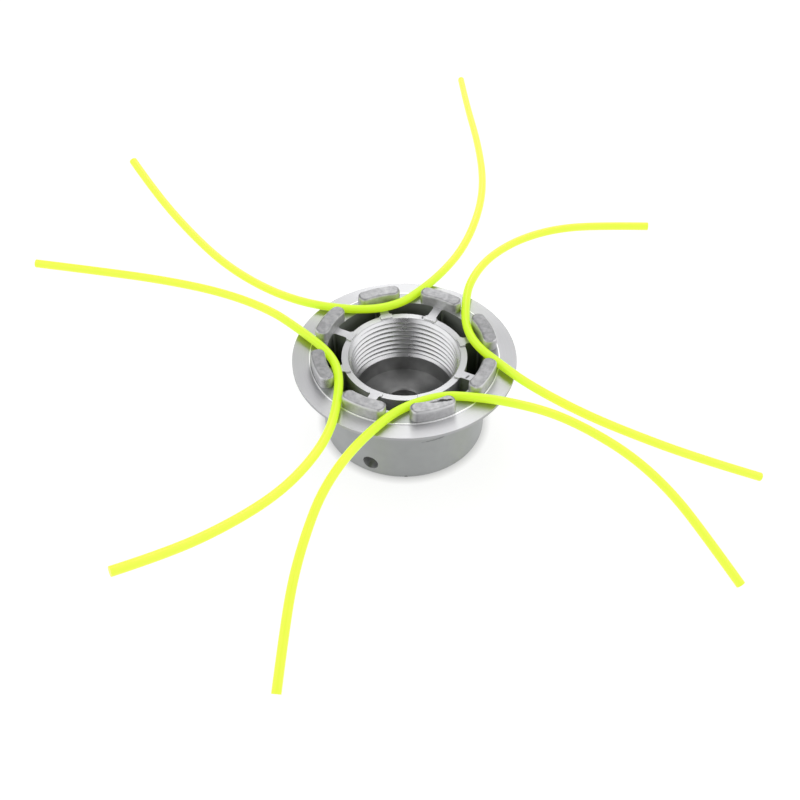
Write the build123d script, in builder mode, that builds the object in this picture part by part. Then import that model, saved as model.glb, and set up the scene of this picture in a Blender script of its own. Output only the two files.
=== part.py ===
"""Fixed-line trimmer head: a die-cast aluminium body with eight lugs and four nylon cutting lines.

Millimetres. Z runs up the spindle axis from the foot of the cup, and the open, lugged side is up.
"""
import os
from math import radians, tan

from build123d import *

os.makedirs("parts", exist_ok=True)

# Cup, with a turned flange around its mouth
cup_dia = 59.8
cup_wall = 1.7
foot_chamfer = 0.8
flange_dia = 80.0
flange_height = 32.7
flange_rim = 1.2
flange_root = 3.0
flange_root_fillet = 1.5

# Seat: the as-cast ring inside the flange, which carries the lugs
seat_dia = 67.8
seat_rise = 0.3

# Lugs that the lines are hooked behind, flush with the cup's inner wall
lug_count = 8
first_lug_angle = 18.5
lug_width = 5.2
lug_length = 16.0
lug_height = 4.6
lug_corner = 2.4
lug_edge_fillet = 0.9

# Threaded hub in the middle of the cup, with a plain wall at the thread's major diameter
hub_dia = 44.9
thread_dia = 40.0
thread_length = 18.2
thread_chamfer = 0.2

# Nut well under the thread, drawn in towards its floor, and the spindle hole
well_mouth_dia = 37.0
well_floor_dia = 35.4
floor_thickness = 8.4
spindle_dia = 13.5
spindle_chamfer = 0.4

# Cross hole in the side of the floor, for the pin that stops the spindle
lock_hole_dia = 5.8
lock_hole_depth = 10.0
lock_hole_height = 5.6
lock_hole_angle = -113.5

# Ribs between hub and cup, one behind each lug, with cored pockets between them
rib_width = 3.2
rib_rise = 0.5
rib_pad_width = 4.4
rib_pad_inner_dia = 41.0
pocket_floor = 1.0

# Nylon line
line_dia = 3.15
line_lift = 0.05

seat_height = flange_height + seat_rise
hub_height = seat_height - rib_rise
thread_end = hub_height - thread_length
cup_bore = cup_dia - 2 * cup_wall
lug_outer_dia = cup_bore + 2 * lug_width
pocket_width = (cup_bore - hub_dia) / 2
pocket_corner = pocket_width / 6
line_height = seat_height + line_dia / 2 + line_lift
around = (0, lug_count, first_lug_angle)

# One lug, lying on the X axis: a length of the lug circle with soft corners and a soft top edge
with BuildPart() as lug:
    with BuildSketch(Plane.XY.offset(seat_height)) as lug_plan:
        Circle(lug_outer_dia / 2)
        Circle(cup_bore / 2, mode=Mode.SUBTRACT)
        Rectangle(lug_outer_dia, lug_length, align=(Align.MIN, Align.CENTER), mode=Mode.INTERSECT)
        fillet(lug_plan.vertices(), lug_corner)
    extrude(amount=lug_height)
    fillet(lug.faces().sort_by(Axis.Z)[-1].edges(), lug_edge_fillet)

# Head body
with BuildPart() as head_body:
    # Turned outline of the whole casting, with the rib ring still closed
    with BuildSketch(Plane.XZ) as section:
        with BuildLine():
            Polyline(
                (spindle_dia / 2, 0),
                (cup_dia / 2 - foot_chamfer, 0),
                (cup_dia / 2, foot_chamfer),
                (cup_dia / 2, flange_height - flange_root),
                (flange_dia / 2, flange_height - flange_rim),
                (flange_dia / 2, flange_height),
                (seat_dia / 2, flange_height),
                (seat_dia / 2, seat_height),
                (hub_dia / 2, seat_height),
                (hub_dia / 2, hub_height),
                (thread_dia / 2 + thread_chamfer, hub_height),
                (thread_dia / 2, hub_height - thread_chamfer),
                (thread_dia / 2, thread_end),
                (well_mouth_dia / 2, thread_end),
                (well_floor_dia / 2, floor_thickness),
                (spindle_dia / 2 + spindle_chamfer, floor_thickness),
                (spindle_dia / 2, floor_thickness - spindle_chamfer),
                close=True,
            )
        make_face()
        flange_corner = section.vertices().sort_by_distance((cup_dia / 2, flange_height - flange_root))
        fillet(flange_corner[0], flange_root_fillet)
    revolve(axis=Axis.Z)

    # Pockets between the ribs, down to a web over the floor
    with BuildSketch(Plane.XY.offset(floor_thickness + pocket_floor)) as pockets:
        Circle(cup_bore / 2)
        Circle(hub_dia / 2, mode=Mode.SUBTRACT)
        with PolarLocations(*around):
            Rectangle(cup_bore, rib_width, align=(Align.MIN, Align.CENTER), mode=Mode.SUBTRACT)
        fillet(pockets.vertices(), pocket_corner)
    extrude(amount=seat_height - floor_thickness - pocket_floor, mode=Mode.SUBTRACT)

    # Pads that carry each rib across the top of the hub
    with BuildSketch(Plane.XY.offset(hub_height)):
        with PolarLocations(rib_pad_inner_dia / 2, lug_count, first_lug_angle):
            pad_length = (hub_dia - rib_pad_inner_dia) / 2
            Rectangle(pad_length, rib_pad_width, align=(Align.MIN, Align.CENTER))
    extrude(amount=rib_rise)

    # Lugs around the seat
    with PolarLocations(*around):
        add(lug.part)

    # Blind cross hole in the side of the floor
    outward = Vector(1, 0, 0).rotate(Axis.Z, lock_hole_angle)
    lock_hole_end = Plane(origin=(0, 0, lock_hole_height), z_dir=outward).offset(cup_dia / 2 - lock_hole_depth)
    with BuildSketch(lock_hole_end):
        Circle(lock_hole_dia / 2)
    extrude(amount=lock_hole_depth, mode=Mode.SUBTRACT)
head_body.part.label = "head_body"
export_step(head_body.part, "parts/head_body.step")

# Routes of the lines, tip to tip: in over the flange, round the inner side of a lug and out again
line_routes = {
    "cutting_line_back": [
        (29.5, 230.5, 16.0), (31.0, 195.0, 20.5), (34.0, 152.0, 26.0), (34.5, 115.0, 30.0),
        (31.0, 87.0, 32.5), (23.5, 60.5, 34.2), (13.5, 42.5, line_height), (3.0, 30.0, line_height),
        (-2.5, 25.5, line_height), (-11.0, 22.5, line_height), (-23.0, 22.5, line_height),
        (-39.0, 26.5, line_height), (-54.5, 34.5, 35.3), (-70.5, 46.5, 37.3), (-85.5, 62.0, 41.0),
        (-100.5, 79.5, 46.5), (-111.5, 94.5, 52.0),
    ],
    "cutting_line_right": [
        (98.0, 71.5, 37.0), (80.5, 72.5, 36.5), (62.5, 71.5, 36.0), (46.0, 65.5, 35.0),
        (32.5, 53.5, line_height), (24.5, 38.0, line_height), (22.5, 23.5, line_height),
        (22.5, 12.0, line_height), (26.0, 2.5, line_height), (33.5, -6.5, line_height),
        (42.5, -16.5, line_height), (58.0, -26.0, 32.0), (74.5, -30.5, 26.5), (101.0, -33.5, 16.0),
        (125.5, -33.5, 6.0),
    ],
    "cutting_line_front": [
        (109.0, -77.0, 4.0), (99.0, -66.0, 13.0), (88.0, -53.5, 21.5), (75.5, -44.0, 28.5),
        (62.0, -36.5, 33.0), (49.0, -29.5, line_height), (34.0, -24.5, line_height),
        (22.5, -22.5, line_height), (12.5, -22.0, line_height), (-0.5, -27.5, line_height),
        (-9.0, -36.0, line_height), (-18.5, -48.0, 33.5), (-26.0, -60.0, 29.5), (-30.5, -72.5, 24.5),
        (-34.0, -86.5, 19.0), (-36.0, -101.5, 11.5), (-37.5, -116.0, 4.0),
    ],
    "cutting_line_left": [
        (-142.5, 46.0, 37.0), (-118.0, 42.5, 36.2), (-92.5, 38.5, 35.2), (-69.0, 32.0, line_height),
        (-50.0, 22.0, line_height), (-38.0, 11.0, line_height), (-27.0, -0.5, line_height),
        (-22.5, -11.0, line_height), (-22.5, -25.5, line_height), (-24.5, -39.5, line_height),
        (-30.0, -53.0, 35.5), (-38.5, -67.0, 37.3), (-51.0, -80.0, 39.5), (-66.0, -92.5, 42.8),
        (-81.0, -101.5, 46.0),
    ],
}
bend_share = 0.45


def bend_radii(points):
    """The largest easy arc at each corner of a route, from its two runs and the turn between them."""
    runs = [Vector(b) - Vector(a) for a, b in zip(points, points[1:])]
    return [
        bend_share * min(a.length, b.length) / tan(radians(a.get_angle(b)) / 2)
        for a, b in zip(runs, runs[1:])
    ]


for name, points in line_routes.items():
    radii = bend_radii(points)
    with BuildPart() as cutting_line:
        with BuildLine() as route:
            path = FilletPolyline(*points, radius=radii)
        with BuildSketch(Plane(origin=path @ 0, z_dir=path % 0)) as line_section:
            Circle(line_dia / 2)
        sweep(path=path)
    cutting_line.part.label = name
    export_step(cutting_line.part, f"parts/{name}.step")
    filled = cutting_line.part.volume / (line_section.sketch.area * path.length)
    print(name, f"length {path.length:.1f}, volume over section and length {filled:.4f}")
    print("   radii", [round(radius) for radius in radii])
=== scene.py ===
"""Trimmer head: the die-cast body with its finish, its thread and four nylon lines, on a table."""
from math import hypot, radians

import bpy
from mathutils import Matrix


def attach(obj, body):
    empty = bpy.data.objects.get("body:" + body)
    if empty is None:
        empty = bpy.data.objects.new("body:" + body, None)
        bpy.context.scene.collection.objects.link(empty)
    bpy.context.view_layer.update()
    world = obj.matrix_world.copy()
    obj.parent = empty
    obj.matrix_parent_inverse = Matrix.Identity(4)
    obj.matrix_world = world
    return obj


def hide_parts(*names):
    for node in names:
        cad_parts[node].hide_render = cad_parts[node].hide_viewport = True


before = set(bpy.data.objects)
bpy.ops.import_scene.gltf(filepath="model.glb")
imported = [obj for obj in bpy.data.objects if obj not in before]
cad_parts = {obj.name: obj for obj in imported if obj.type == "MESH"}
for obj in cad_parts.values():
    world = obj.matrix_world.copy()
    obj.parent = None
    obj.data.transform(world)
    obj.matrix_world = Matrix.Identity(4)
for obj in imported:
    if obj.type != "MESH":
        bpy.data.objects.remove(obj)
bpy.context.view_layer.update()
bpy.ops.object.select_all(action="DESELECT")

# Sizes are in millimetres up to the studio, which is in metres like the frame
mm = 0.001
mm_in_metre = 1000

# Thread in the hub: one tooth, its turns, the countersink over it and the run-out under it
thread_dia = 40.0
crest_dia = 37.8
thread_pitch = 2.2
thread_bottom = 14.5
thread_top = 32.35
thread_turns = 8
tooth_foot = 0.13
crest_foot = 0.93
crest_top = 1.27
tooth_top = 2.07
crest_bevel = 0.14
wall_overlap = 0.02
countersink_foot = 31.2
relief_dia = 37.2
relief_foot = 14.28
relief_lip = 0.1
steps_per_turn = 128
smooth_angle = radians(35)

# Nylon line, and the routes of the four lines from tip to tip
line_dia = 3.15
line_height = 34.625
line_routes = {
    "cutting_line_back": [
        (29.5, 230.5, 16.0), (31.0, 195.0, 20.5), (34.0, 152.0, 26.0), (34.5, 115.0, 30.0),
        (31.0, 87.0, 32.5), (23.5, 60.5, 34.2), (13.5, 42.5, line_height),
        (3.0, 30.0, line_height), (-2.5, 25.5, line_height), (-11.0, 22.5, line_height),
        (-23.0, 22.5, line_height), (-39.0, 26.5, line_height), (-54.5, 34.5, 35.3),
        (-70.5, 46.5, 37.3), (-85.5, 62.0, 41.0), (-100.5, 79.5, 46.5), (-111.5, 94.5, 52.0),
    ],
    "cutting_line_right": [
        (98.0, 71.5, 37.0), (80.5, 72.5, 36.5), (62.5, 71.5, 36.0), (46.0, 65.5, 35.0),
        (32.5, 53.5, line_height), (24.5, 38.0, line_height), (22.5, 23.5, line_height),
        (22.5, 12.0, line_height), (26.0, 2.5, line_height), (33.5, -6.5, line_height),
        (42.5, -16.5, line_height), (58.0, -26.0, 32.0), (74.5, -30.5, 26.5),
        (101.0, -33.5, 16.0), (125.5, -33.5, 6.0),
    ],
    "cutting_line_front": [
        (109.0, -77.0, 4.0), (99.0, -66.0, 13.0), (88.0, -53.5, 21.5), (75.5, -44.0, 28.5),
        (62.0, -36.5, 33.0), (49.0, -29.5, line_height), (34.0, -24.5, line_height),
        (22.5, -22.5, line_height), (12.5, -22.0, line_height), (-0.5, -27.5, line_height),
        (-9.0, -36.0, line_height), (-18.5, -48.0, 33.5), (-26.0, -60.0, 29.5),
        (-30.5, -72.5, 24.5), (-34.0, -86.5, 19.0), (-36.0, -101.5, 11.5), (-37.5, -116.0, 4.0),
    ],
    "cutting_line_left": [
        (-142.5, 46.0, 37.0), (-118.0, 42.5, 36.2), (-92.5, 38.5, 35.2), (-69.0, 32.0, line_height),
        (-50.0, 22.0, line_height), (-38.0, 11.0, line_height), (-27.0, -0.5, line_height),
        (-22.5, -11.0, line_height), (-22.5, -25.5, line_height), (-24.5, -39.5, line_height),
        (-30.0, -53.0, 35.5), (-38.5, -67.0, 37.3), (-51.0, -80.0, 39.5), (-66.0, -92.5, 42.8),
        (-81.0, -101.5, 46.0),
    ],
}

# Zones of the casting's finish and of its painted light and shade: between two radii and between two
# heights
lug_heights = (33.05, 40.0)
lug_edge_zone = ((31.6, 34.0), (35.5, 40.0))
pocket_zone = ((22.4, 28.25), (9.0, 32.9))
well_zone = ((-1.0, 18.7), (-1.0, 14.2))
rim_zone = ((39.6, 45.0), (30.0, 32.5))
flange_zone = ((33.85, 45.0), (32.5, 33.02))
rib_zone = ((22.4, 28.3), (32.9, 33.05))
hub_zone = ((18.4, 22.6), (14.2, 33.05))
seat_edge_zone = ((33.6, 34.0), (32.6, 33.05))
pad_step_zone = ((18.4, 22.6), (32.55, 32.95))

# Marks on the casting, and spots of painted light and shade: centre, turn in degrees, half sizes and
# raggedness
# The crumbled spot on a lug's end is real; its speckle is painted glints and painted shade
crumbs_glints_and_shade = ((-27.0, -18.4, 36.0), 0, (2.0, 2.0, 2.5), 2.2)
# Painted light: a pale patch brightening the inside of the lock hole
lock_hole_painted_light = ((-9.9, -22.8, 5.6), -113.5, (6.9, 3.2, 3.2), 0.0)
marks_and_painted_shade = {
    # The chip is a real notch in a lug; its dark is painted shade inside the notch
    "chip_shade": ((13.4, -27.2, 37.5), 10, (2.8, 0.7, 0.9), 1.6),
    "scratch": ((10.2, -28.0, 37.5), 5, (1.9, 0.3, 0.9), 1.0),
    "nick": ((0.8, -29.8, 0.7), 0, (0.8, 0.9, 0.7), 0.6),
    "scuff": ((10.6, -27.9, 18.6), 20, (4.8, 1.2, 0.5), 1.2),
    # Painted shade in the creases at the ends of the pads on the hub
    "pad_end_shade_left": ((6.7, 20.4, 33.0), 0, (0.5, 1.3, 0.9), 0.4),
    "pad_end_shade_right": ((10.3, 17.1, 33.0), -20, (0.9, 0.42, 0.9), 0.4),
    "rib_pad_end_shade": ((22.0, -11.4, 33.0), 48, (1.3, 0.42, 0.9), 0.4),
}
mark_and_shade_depths = {
    "chip_shade": 1.0, "scratch": 1.0, "nick": 1.0, "scuff": 0.35,
    "pad_end_shade_left": 0.8, "pad_end_shade_right": 0.8, "rib_pad_end_shade": 0.8,
}
mark_grain = 700.0
mark_sharpness = 3.0

# Studio: camera of the photograph, table, and the strength of the white surroundings
camera_place = (0, -0.25493, 0.27381)
camera_turn = (radians(43.96), 0, radians(0.35))
camera_lens = 44.19
table_radius = 3.0
lighting_strength = 0.55
seen_strength = 1.0


def put(tree, kind, inputs=None, **options):
    """One node in a tree, with its options set and its inputs given as values or as sockets."""
    made = tree.nodes.new(kind)
    for option, value in options.items():
        setattr(made, option, value)
    for socket, value in (inputs or {}).items():
        if isinstance(value, bpy.types.NodeSocket):
            tree.links.new(value, made.inputs[socket])
        else:
            made.inputs[socket].default_value = value
    return made


def combine(tree, operation, first, second):
    """The result of one sum on two values or sockets."""
    return put(tree, "ShaderNodeMath", {0: first, 1: second}, operation=operation).outputs[0]


def blend_colour(tree, mask, first, second):
    """The first colour where the mask is 0 and the second where it is 1."""
    made = put(tree, "ShaderNodeMix", {0: mask, 6: first, 7: second}, data_type="RGBA")
    return made.outputs[2]


def blend_value(tree, mask, first, second):
    """The first value where the mask is 0 and the second where it is 1."""
    return put(tree, "ShaderNodeMix", {0: mask, 2: first, 3: second}).outputs[0]


def grey(tone):
    """A neutral colour."""
    return (tone, tone, tone, 1)


def new_group(name, inputs, outputs):
    """An empty node group with its inputs at their defaults, and what it takes and gives."""
    group = bpy.data.node_groups.new(name, "ShaderNodeTree")
    for label, default in inputs.items():
        socket = group.interface.new_socket(label, in_out="INPUT", socket_type="NodeSocketFloat")
        socket.default_value = default
    for label in outputs:
        group.interface.new_socket(label, in_out="OUTPUT", socket_type="NodeSocketFloat")
    taken = group.nodes.new("NodeGroupInput").outputs
    given = group.nodes.new("NodeGroupOutput").inputs
    return group, taken, given


def use_group(tree, group, inputs=None):
    """A placed node group's outputs."""
    return put(tree, "ShaderNodeGroup", inputs, node_tree=group).outputs


def place_group():
    """How far a point is from the spindle axis and how high it is, in millimetres."""
    group, _, given = new_group("place_on_head", {}, ["Radius", "Height"])
    place = put(group, "ShaderNodeTexCoord").outputs["Object"]
    across = (mm_in_metre, mm_in_metre, 0)
    flat = put(group, "ShaderNodeVectorMath", {0: place, 1: across}, operation="MULTIPLY").outputs[0]
    radius = put(group, "ShaderNodeVectorMath", {0: flat}, operation="LENGTH").outputs["Value"]
    upright = put(group, "ShaderNodeSeparateXYZ", {0: place}).outputs["Z"]
    height = combine(group, "MULTIPLY", upright, mm_in_metre)
    group.links.new(radius, given["Radius"])
    group.links.new(height, given["Height"])
    return group


def band_group():
    """A mask that is 1 between two values and falls off over a soft edge."""
    inputs = {"Value": 0.0, "From": 0.0, "To": 1.0, "Edge": 0.05}
    group, taken, given = new_group("band", inputs, ["Mask"])
    over = combine(group, "SUBTRACT", taken["Value"], taken["From"])
    under = combine(group, "SUBTRACT", taken["To"], taken["Value"])
    rise = combine(group, "DIVIDE", over, taken["Edge"])
    fall = combine(group, "DIVIDE", under, taken["Edge"])
    both = put(group, "ShaderNodeMath", {0: rise, 1: fall}, operation="MINIMUM", use_clamp=True)
    group.links.new(both.outputs[0], given["Mask"])
    return group


def grain_group():
    """Fine grain of a surface for its bump, and slow blotches for its tone, both about 0.5."""
    inputs = {"Grains": 2500.0, "Blotches": 220.0}
    group, taken, given = new_group("surface_grain", inputs, ["Grain", "Blotch"])
    place = put(group, "ShaderNodeTexCoord").outputs["Object"]
    for noise, label, detail in (("Grains", "Grain", 2.0), ("Blotches", "Blotch", 4.0)):
        settings = {"Vector": place, "Scale": taken[noise], "Detail": detail}
        made = put(group, "ShaderNodeTexNoise", settings)
        group.links.new(made.outputs["Fac"], given[label])
    return group


def rings_group():
    """Tool marks of a lathe: fine rings around the spindle axis, about 0.5."""
    group, taken, given = new_group("turned_rings", {"Rings": 4.0}, ["Ring"])
    radius = use_group(group, place_on_head)["Radius"]
    settings = {"W": radius, "Scale": taken["Rings"], "Detail": 2.0}
    made = put(group, "ShaderNodeTexNoise", settings, noise_dimensions="1D")
    group.links.new(made.outputs["Fac"], given["Ring"])
    return group


place_on_head = place_group()
band = band_group()
surface_grain = grain_group()
turned_rings = rings_group()


def new_material(name):
    """A material with its Principled shader, ready for nodes."""
    material = bpy.data.materials.new(name)
    material.use_nodes = True
    return material, material.node_tree, material.node_tree.nodes["Principled BSDF"]


def between(tree, value, low, high, edge=0.05):
    """A mask of where a value lies between two limits."""
    limits = {"Value": value, "From": low, "To": high, "Edge": edge}
    return use_group(tree, band, limits)["Mask"]


def zone(tree, place, radii, heights):
    """A mask of the ring between two radii and two heights."""
    ring = between(tree, place["Radius"], *radii)
    slab = between(tree, place["Height"], *heights)
    return combine(tree, "MULTIPLY", ring, slab)


def spot(tree, centre, turn, half_size, ragged):
    """A mask of one ragged mark on the surface, round its centre."""
    place = put(tree, "ShaderNodeTexCoord").outputs["Object"]
    settings = {
        "Vector": place,
        "Location": [value * mm for value in centre],
        "Rotation": (0, 0, radians(turn)),
        "Scale": [value * mm for value in half_size],
    }
    local = put(tree, "ShaderNodeMapping", settings, vector_type="TEXTURE").outputs[0]
    noise = put(tree, "ShaderNodeTexNoise", {"Vector": place, "Scale": mark_grain}).outputs["Fac"]
    torn = combine(tree, "MULTIPLY", combine(tree, "SUBTRACT", noise, 0.5), ragged)
    away = put(tree, "ShaderNodeVectorMath", {0: local}, operation="LENGTH").outputs["Value"]
    near = combine(tree, "SUBTRACT", 1.0, combine(tree, "ADD", away, torn))
    mask = {0: near, 1: mark_sharpness}
    return put(tree, "ShaderNodeMath", mask, operation="MULTIPLY", use_clamp=True).outputs[0]


def casting_material():
    """Die-cast aluminium: as cast on the cup, lugs and pockets, turned on the flange and hub, with
    painted light and shade in places.
    """
    material, tree, shader = new_material("cast_aluminium")
    shader.inputs["Metallic"].default_value = 1.0
    shader.inputs["Anisotropic"].default_value = 0.9
    shader.inputs["Anisotropic Rotation"].default_value = 0.25
    place = use_group(tree, place_on_head)
    grain = use_group(tree, surface_grain)
    ring = use_group(tree, turned_rings)["Ring"]
    facing = put(tree, "ShaderNodeTexCoord").outputs["Normal"]
    upward = put(tree, "ShaderNodeSeparateXYZ", {0: facing}).outputs["Z"]

    # As cast: grey and a little blotchy
    colour = blend_colour(tree, grain["Blotch"], (0.33, 0.34, 0.34, 1), (0.41, 0.42, 0.42, 1))

    # Lugs: mottled, with painted light on the sides, painted shade on the tops and a painted
    # highlight on the rounded outer edges
    lugs = between(tree, place["Height"], *lug_heights)
    mottle = use_group(tree, surface_grain, {"Blotches": 650.0})["Blotch"]
    # Painted light on the lug sides and painted shade on the lug tops, chosen by which way each face
    # points
    lug_side_painted_light = blend_colour(tree, mottle, (0.40, 0.40, 0.41, 1), (0.70, 0.70, 0.71, 1))
    lug_top_painted_shade = blend_colour(tree, mottle, (0.15, 0.15, 0.155, 1), (0.44, 0.44, 0.445, 1))
    flat = between(tree, upward, 0.5, 2.0, edge=0.3)
    colour = blend_colour(tree, lugs, colour, blend_colour(tree, flat, lug_side_painted_light, lug_top_painted_shade))
    # Painted highlight on the rounded outer edges of the lugs
    rounded = between(tree, upward, 0.25, 0.93, edge=0.15)
    lug_edge_highlight = combine(tree, "MULTIPLY", rounded, zone(tree, place, *lug_edge_zone))
    colour = blend_colour(tree, lug_edge_highlight, colour, (0.55, 0.55, 0.56, 1))

    # Painted shade darkens the cored pockets, slightly green; an uneven nut well with the spindle
    # hole, and the flange's rim
    # Painted shade in the cored pockets
    pockets = zone(tree, place, *pocket_zone)
    colour = blend_colour(tree, pockets, colour, (0.26, 0.28, 0.25, 1))
    well_tone = blend_colour(tree, grain["Blotch"], grey(0.20), grey(0.42))
    colour = blend_colour(tree, zone(tree, place, *well_zone), colour, well_tone)
    colour = blend_colour(tree, zone(tree, place, *rim_zone), colour, (0.42, 0.42, 0.43, 1))

    # Turned: lathe rings on the flange, the ribs and the hub
    ribs_and_hub = combine(
        tree, "MAXIMUM", zone(tree, place, *rib_zone), zone(tree, place, *hub_zone)
    )
    turned = combine(tree, "MAXIMUM", zone(tree, place, *flange_zone), ribs_and_hub)
    bright = blend_colour(tree, ring, (0.41, 0.41, 0.42, 1), (0.51, 0.51, 0.52, 1))
    colour = blend_colour(tree, turned, colour, bright)

    # Painted highlights on the edge of the seat and on the steps of the pads on the hub
    seat_edge_highlight = zone(tree, place, *seat_edge_zone)
    pad_step_highlight = zone(tree, place, *pad_step_zone)
    edges = combine(tree, "MAXIMUM", seat_edge_highlight, pad_step_highlight)
    colour = blend_colour(tree, edges, colour, grey(0.95))

    # Painted light inside the lock hole, then marks of use and of the mould, with painted glints and
    # shade in the crumbled spot, the chip and at the ends of the pads
    colour = blend_colour(tree, spot(tree, *lock_hole_painted_light), colour, grey(0.85))
    # Painted glints and painted shade speckle the crumbled spot
    crumb_glints_and_shade = blend_colour(tree, grain["Grain"], grey(0.1), grey(0.9))
    colour = blend_colour(tree, spot(tree, *crumbs_glints_and_shade), colour, crumb_glints_and_shade)
    # Dark marks of use, with painted shade in the chip and at the ends of the pads
    dark = 0.0
    for name, mark in marks_and_painted_shade.items():
        depth = combine(tree, "MULTIPLY", spot(tree, *mark), mark_and_shade_depths[name])
        dark = combine(tree, "MAXIMUM", dark, depth)
    colour = blend_colour(tree, dark, colour, grey(0.03))
    tree.links.new(colour, shader.inputs["Base Color"])

    # Roughness, and a fine cast grain where nothing was turned
    as_cast = blend_value(tree, grain["Blotch"], 0.36, 0.48)
    smooth = blend_value(tree, ring, 0.36, 0.48)
    tree.links.new(blend_value(tree, turned, as_cast, smooth), shader.inputs["Roughness"])
    not_turned = combine(tree, "SUBTRACT", 1.0, turned)
    rough = combine(tree, "MULTIPLY", grain["Grain"], not_turned)
    bump = {"Strength": 0.4, "Distance": 0.06 * mm, "Height": rough}
    tree.links.new(put(tree, "ShaderNodeBump", bump).outputs[0], shader.inputs["Normal"])
    around = put(tree, "ShaderNodeTangent", direction_type="RADIAL", axis="Z")
    tree.links.new(around.outputs[0], shader.inputs["Tangent"])
    return material


def thread_material():
    """Bright metal of the cut thread, a little uneven."""
    material, tree, shader = new_material("cut_thread")
    shader.inputs["Metallic"].default_value = 1.0
    blotch = use_group(tree, surface_grain)["Blotch"]
    colour = blend_colour(tree, blotch, (0.48, 0.48, 0.49, 1), (0.58, 0.58, 0.59, 1))
    tree.links.new(colour, shader.inputs["Base Color"])
    tree.links.new(blend_value(tree, blotch, 0.22, 0.34), shader.inputs["Roughness"])
    return material


def nylon_material():
    """Fluorescent yellow nylon, with painted shade deepening its colour close to the metal."""
    material, tree, shader = new_material("yellow_nylon")
    radius = use_group(tree, place_on_head)["Radius"]
    grain = use_group(tree, surface_grain, {"Grains": 1200.0, "Blotches": 120.0})
    # Painted shade deepens the colour near the head, fading out between 30 and 55 mm from the axis
    beyond_head_shade = between(tree, radius, 30.0, 1000.0, edge=25.0)
    paler = blend_colour(tree, beyond_head_shade, (0.50, 0.74, 0.012, 1), (0.66, 0.85, 0.05, 1))
    deeper = blend_colour(tree, beyond_head_shade, (0.46, 0.69, 0.010, 1), (0.61, 0.81, 0.04, 1))
    colour = blend_colour(tree, grain["Blotch"], deeper, paler)
    tree.links.new(colour, shader.inputs["Base Color"])
    # The nylon also glows in its own colour: painted light that brightens its shaded underside and
    # its reflections
    tree.links.new(colour, shader.inputs["Emission Color"])
    shader.inputs["Emission Strength"].default_value = 0.5
    tree.links.new(blend_value(tree, grain["Grain"], 0.3, 0.5), shader.inputs["Roughness"])
    return material


def hook_line(name, material):
    """One nylon line along its route, standing for its solid."""
    curve = bpy.data.curves.new(name + "_nylon", "CURVE")
    curve.dimensions = "3D"
    curve.bevel_depth = line_dia / 2 * mm
    curve.bevel_resolution = 6
    curve.resolution_u = 16
    curve.use_fill_caps = True
    spline = curve.splines.new("NURBS")
    route = line_routes[name]
    spline.points.add(len(route) - 1)
    for point, (x, y, z) in zip(spline.points, route):
        point.co = (x * mm, y * mm, z * mm, 1)
    spline.order_u = 3
    spline.use_endpoint_u = True
    curve.materials.append(material)
    line = bpy.data.objects.new(name + "_nylon", curve)
    bpy.context.scene.collection.objects.link(line)
    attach(line, "root")
    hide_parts(name)


def cut_thread(material):
    """The thread's ridge: one tooth turned up the hub's wall and opened by the countersink."""
    wall = thread_dia / 2 + wall_overlap
    crest = crest_dia / 2

    # The tooth's outline, from a plane's four corners taken in order round its edge
    bpy.ops.mesh.primitive_plane_add(size=1)
    ridge = bpy.context.object
    ridge.name = "cut_thread"
    corners = ridge.data.vertices
    tooth = [(wall, tooth_foot), (crest, crest_foot), (crest, crest_top), (wall, tooth_top)]
    for corner, (radius, height) in zip((0, 1, 3, 2), tooth):
        corners[corner].co = (radius * mm, 0, (thread_bottom + height) * mm)
    bpy.ops.object.mode_set(mode="EDIT")
    bpy.ops.mesh.select_mode(type="VERT")
    bpy.ops.mesh.select_all(action="DESELECT")
    bpy.ops.object.mode_set(mode="OBJECT")
    halfway = (crest + wall) / 2 * mm
    for corner in corners:
        corner.select = corner.co.x < halfway
    bpy.ops.object.mode_set(mode="EDIT")
    bpy.ops.mesh.bevel(offset=crest_bevel * mm, segments=3, affect="VERTICES")
    bpy.ops.mesh.select_all(action="SELECT")
    bpy.ops.mesh.delete(type="ONLY_FACE")
    bpy.ops.object.mode_set(mode="OBJECT")

    # Its turns, closed at both ends
    screw = ridge.modifiers.new("turns", "SCREW")
    screw.axis = "Z"
    screw.steps = steps_per_turn
    screw.render_steps = steps_per_turn
    screw.iterations = thread_turns
    screw.screw_offset = thread_pitch * mm
    screw.use_merge_vertices = False
    bpy.ops.object.modifier_apply(modifier="turns")
    bpy.ops.object.mode_set(mode="EDIT")
    bpy.ops.mesh.select_all(action="DESELECT")
    bpy.ops.mesh.select_non_manifold(extend=False)
    bpy.ops.mesh.edge_face_add()
    bpy.ops.object.mode_set(mode="OBJECT")

    # The countersink opens the upper turns
    for point in ridge.data.vertices:
        x, y, z = point.co / mm
        z = min(z, thread_top)
        radius = hypot(x, y)
        opened = max(radius, crest + z - countersink_foot)
        point.co = (x * opened / radius * mm, y * opened / radius * mm, z * mm)
    bpy.ops.object.mode_set(mode="EDIT")
    bpy.ops.mesh.select_all(action="SELECT")
    bpy.ops.mesh.remove_doubles(threshold=0.005 * mm)
    bpy.ops.mesh.normals_make_consistent(inside=False)
    bpy.ops.object.mode_set(mode="OBJECT")
    bpy.ops.object.shade_smooth_by_angle(angle=smooth_angle)
    ridge.data.materials.append(material)
    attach(ridge, "root")


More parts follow.
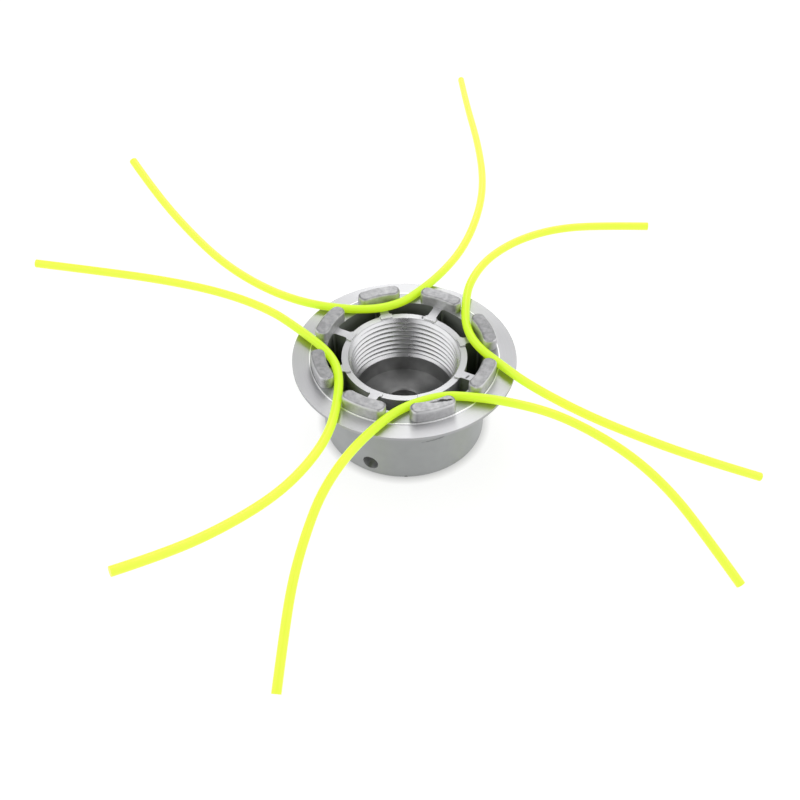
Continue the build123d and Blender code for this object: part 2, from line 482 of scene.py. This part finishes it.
def thread_relief(material):
    """The cutter's sloping run-out under the thread: a cone ring on the well's ledge."""
    wall = thread_dia / 2 + wall_overlap
    inner = relief_dia / 2
    foot = (0, 0, relief_foot * mm)
    lip = (0, 0, relief_lip * mm)
    rise = (0, 0, (wall - inner) * mm)
    bpy.ops.mesh.primitive_circle_add(vertices=steps_per_turn, radius=wall * mm, location=foot)
    slope = bpy.context.object
    slope.name = "thread_relief"
    bpy.ops.object.mode_set(mode="EDIT")
    bpy.ops.mesh.extrude_edges_move()
    bpy.ops.transform.resize(value=(inner / wall, inner / wall, 1), center_override=foot)
    bpy.ops.mesh.extrude_edges_move(TRANSFORM_OT_translate={"value": lip})
    bpy.ops.mesh.extrude_edges_move(TRANSFORM_OT_translate={"value": rise})
    bpy.ops.transform.resize(value=(wall / inner, wall / inner, 1), center_override=foot)
    bpy.ops.mesh.select_all(action="DESELECT")
    bpy.ops.mesh.select_non_manifold(extend=False)
    bpy.ops.mesh.bridge_edge_loops()
    bpy.ops.mesh.select_all(action="SELECT")
    bpy.ops.mesh.normals_make_consistent(inside=False)
    bpy.ops.object.mode_set(mode="OBJECT")
    bpy.ops.object.transform_apply(location=True, rotation=True, scale=True)
    bpy.ops.object.shade_smooth_by_angle(angle=smooth_angle)
    slope.data.materials.append(material)
    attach(slope, "root")


def add_table():
    """A white table top that keeps a light shadow, with painted shade under the cup where its glow
    stops.
    """
    bpy.ops.mesh.primitive_circle_add(
        vertices=96, radius=table_radius, fill_type="NGON", location=(0, 0, 0)
    )
    table = bpy.context.object
    table.name = "table_top"
    material, tree, shader = new_material("white_table")
    shader.inputs["Base Color"].default_value = grey(0.3)
    shader.inputs["Roughness"].default_value = 0.9
    shader.inputs["Specular IOR Level"].default_value = 0.0
    radius = use_group(tree, place_on_head)["Radius"]
    # Painted shade: the glow stops within about 25 mm of the spindle axis, so the table under the
    # cup shows dark
    glow_beyond_painted_shade = between(tree, radius, 25.0, 5000.0, edge=8.0)
    glow = blend_colour(tree, glow_beyond_painted_shade, grey(0), grey(1))
    tree.links.new(glow, shader.inputs["Emission Color"])
    shader.inputs["Emission Strength"].default_value = 0.8
    table.data.materials.append(material)


def add_card(name, place, turn, size, tone):
    """A matt card beside the head, which only the bright metal mirrors."""
    bpy.ops.mesh.primitive_plane_add(size=1, location=place, rotation=turn)
    card = bpy.context.object
    card.name = name
    card.scale = (*size, 1)
    material, _, shader = new_material(name)
    shader.inputs["Base Color"].default_value = grey(tone)
    shader.inputs["Roughness"].default_value = 1.0
    card.data.materials.append(material)
    card.visible_camera = False
    card.visible_diffuse = False
    card.visible_shadow = False


def add_softbox(name, place, turn, size, power):
    """One rectangular softbox."""
    bpy.ops.object.light_add(type="AREA", location=place, rotation=turn)
    lamp = bpy.context.object
    lamp.name = name
    lamp.data.shape = "RECTANGLE"
    lamp.data.size, lamp.data.size_y = size
    lamp.data.energy = power


def add_surroundings():
    """White surroundings, brighter to look at and in reflections than as a light."""
    world = bpy.data.worlds.new("white_studio")
    bpy.context.scene.world = world
    world.use_nodes = True
    tree = world.node_tree
    path = put(tree, "ShaderNodeLightPath").outputs
    seen = combine(tree, "MAXIMUM", path["Is Camera Ray"], path["Is Glossy Ray"])
    seen = combine(tree, "MAXIMUM", seen, path["Is Transmission Ray"])
    strength = blend_value(tree, seen, lighting_strength, seen_strength)
    white = tree.nodes["Background"]
    white.inputs["Color"].default_value = grey(1)
    tree.links.new(strength, white.inputs["Strength"])


def add_camera():
    """The photograph's camera."""
    bpy.ops.object.camera_add(location=camera_place, rotation=camera_turn)
    camera = bpy.context.object
    camera.name = "photo_camera"
    camera.data.lens = camera_lens
    bpy.context.scene.camera = camera


add_camera()
add_table()
add_card(
    "black_card", place=(0, -0.48, 0.83), turn=(radians(30), 0, 0), size=(0.42, 0.75), tone=0.02
)
add_card(
    "grey_card", place=(-0.48, 0.72, 0.75), turn=(radians(-41.4), 0, 0), size=(0.73, 1.1), tone=0.1
)
add_surroundings()
add_softbox(
    "softbox_left", place=(-0.8, -0.1, 0.8), turn=(0, radians(-45), 0), size=(1.1, 1.3), power=3
)
add_softbox(
    "softbox_right", place=(0.8, -0.1, 0.8), turn=(0, radians(45), 0), size=(1.1, 1.3), power=3
)
add_softbox(
    "strip_behind", place=(0, 0.75, 0.85), turn=(radians(-41.4), 0, 0), size=(0.35, 1.3), power=3.6
)
bpy.context.scene.view_settings.view_transform = "Standard"

nylon = nylon_material()
for line_name in line_routes:
    hook_line(line_name, nylon)

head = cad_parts["head_body"]
head.material_slots[0].material = casting_material()
thread_finish = thread_material()
cut_thread(thread_finish)
thread_relief(thread_finish)
